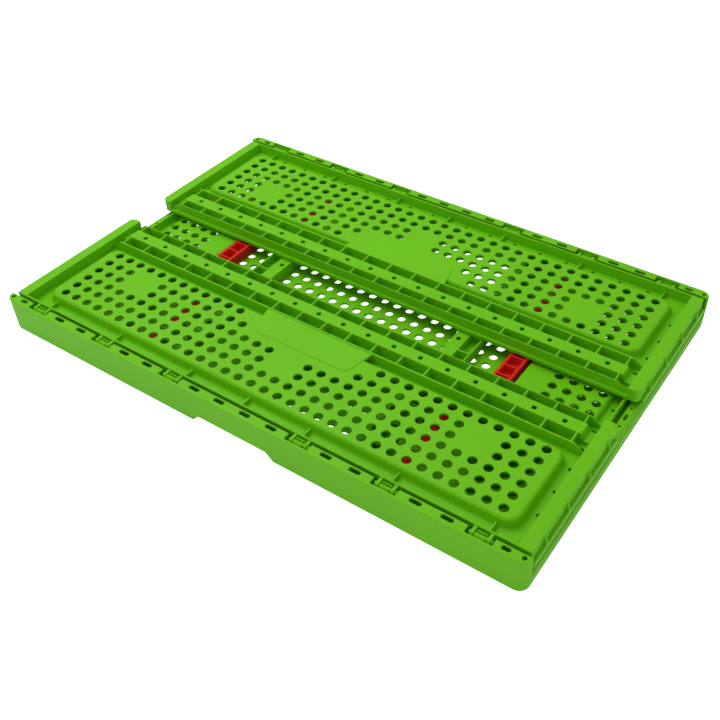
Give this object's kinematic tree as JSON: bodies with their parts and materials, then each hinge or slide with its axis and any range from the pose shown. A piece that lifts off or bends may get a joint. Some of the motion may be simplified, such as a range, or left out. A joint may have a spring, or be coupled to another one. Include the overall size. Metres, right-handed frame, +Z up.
{
  "type": "collapsible storage crate",
  "caption": "Folding perforated plastic crate, stored flat, with hinged long walls, hinged end walls and sliding latch bars.",
  "frame": {"origin": "on the ground under the middle of the folded crate", "axes": "+X along the long sides, +Y from front to back, +Z up"},
  "size_m": [0.6, 0.4, 0.04],
  "materials": {
    "crate_green": "satin moulded polypropylene, lime green",
    "latch_red": "satin moulded plastic, signal red"
  },
  "bodies": {
    "base": {"back_hinge_sockets": "crate_green", "base_back_foot": "crate_green", "base_back_rim": "crate_green", "base_floor": "crate_green", "base_floor_ribs": "crate_green", "base_front_foot": "crate_green", "base_front_rim": "crate_green", "base_left_foot": "crate_green", "base_left_rim": "crate_green", "base_right_foot": "crate_green", "base_right_rim": "crate_green", "front_hinge_sockets": "crate_green", "left_hinge_sockets": "crate_green", "right_hinge_sockets": "crate_green"},
    "front_wall": {"front_wall_hinge_pins": "crate_green", "front_wall_left_flange": "crate_green", "front_wall_left_lip": "crate_green", "front_wall_panel": "crate_green", "front_wall_right_flange": "crate_green", "front_wall_right_lip": "crate_green", "front_wall_top_rim": "crate_green"},
    "back_wall": {"back_wall_hinge_pins": "crate_green", "back_wall_left_flange": "crate_green", "back_wall_left_lip": "crate_green", "back_wall_panel": "crate_green", "back_wall_right_flange": "crate_green", "back_wall_right_lip": "crate_green", "back_wall_top_rim": "crate_green"},
    "left_wall": {"left_wall_hinge_pins": "crate_green", "left_wall_latch_guide": "crate_green", "left_wall_panel": "crate_green", "left_wall_top_rim": "crate_green"},
    "right_wall": {"right_wall_hinge_pins": "crate_green", "right_wall_latch_guide": "crate_green", "right_wall_panel": "crate_green", "right_wall_top_rim": "crate_green"},
    "left_latch": {"left_latch_bar": "latch_red"},
    "right_latch": {"right_latch_bar": "latch_red"}
  },
  "joints": [
    {"name": "front_wall_hinge", "type": "hinge", "parent": "base", "child": "front_wall", "pos_m": [0, -0.1918, 0.035], "axis": [1, 0, 0], "range_deg": [0, 90]},
    {"name": "back_wall_hinge", "type": "hinge", "parent": "base", "child": "back_wall", "pos_m": [0, 0.1918, 0.035], "axis": [-1, 0, 0], "range_deg": [0, 90]},
    {"name": "right_wall_hinge", "type": "hinge", "parent": "base", "child": "right_wall", "pos_m": [0.2893, 0, 0.0196], "axis": [0, 1, 0], "range_deg": [0, 0.3]},
    {"name": "left_wall_hinge", "type": "hinge", "parent": "base", "child": "left_wall", "pos_m": [-0.2893, 0, 0.0196], "axis": [0, -1, 0], "range_deg": [0, 0.3]},
    {"name": "right_latch_slide", "type": "slide", "parent": "right_wall", "child": "right_latch", "axis": [-1, 0, 0], "range_m": [0, 0.007], "stiffness_N_per_m": 300},
    {"name": "left_latch_slide", "type": "slide", "parent": "left_wall", "child": "left_latch", "axis": [1, 0, 0], "range_m": [0, 0.007], "stiffness_N_per_m": 300}
  ]
}
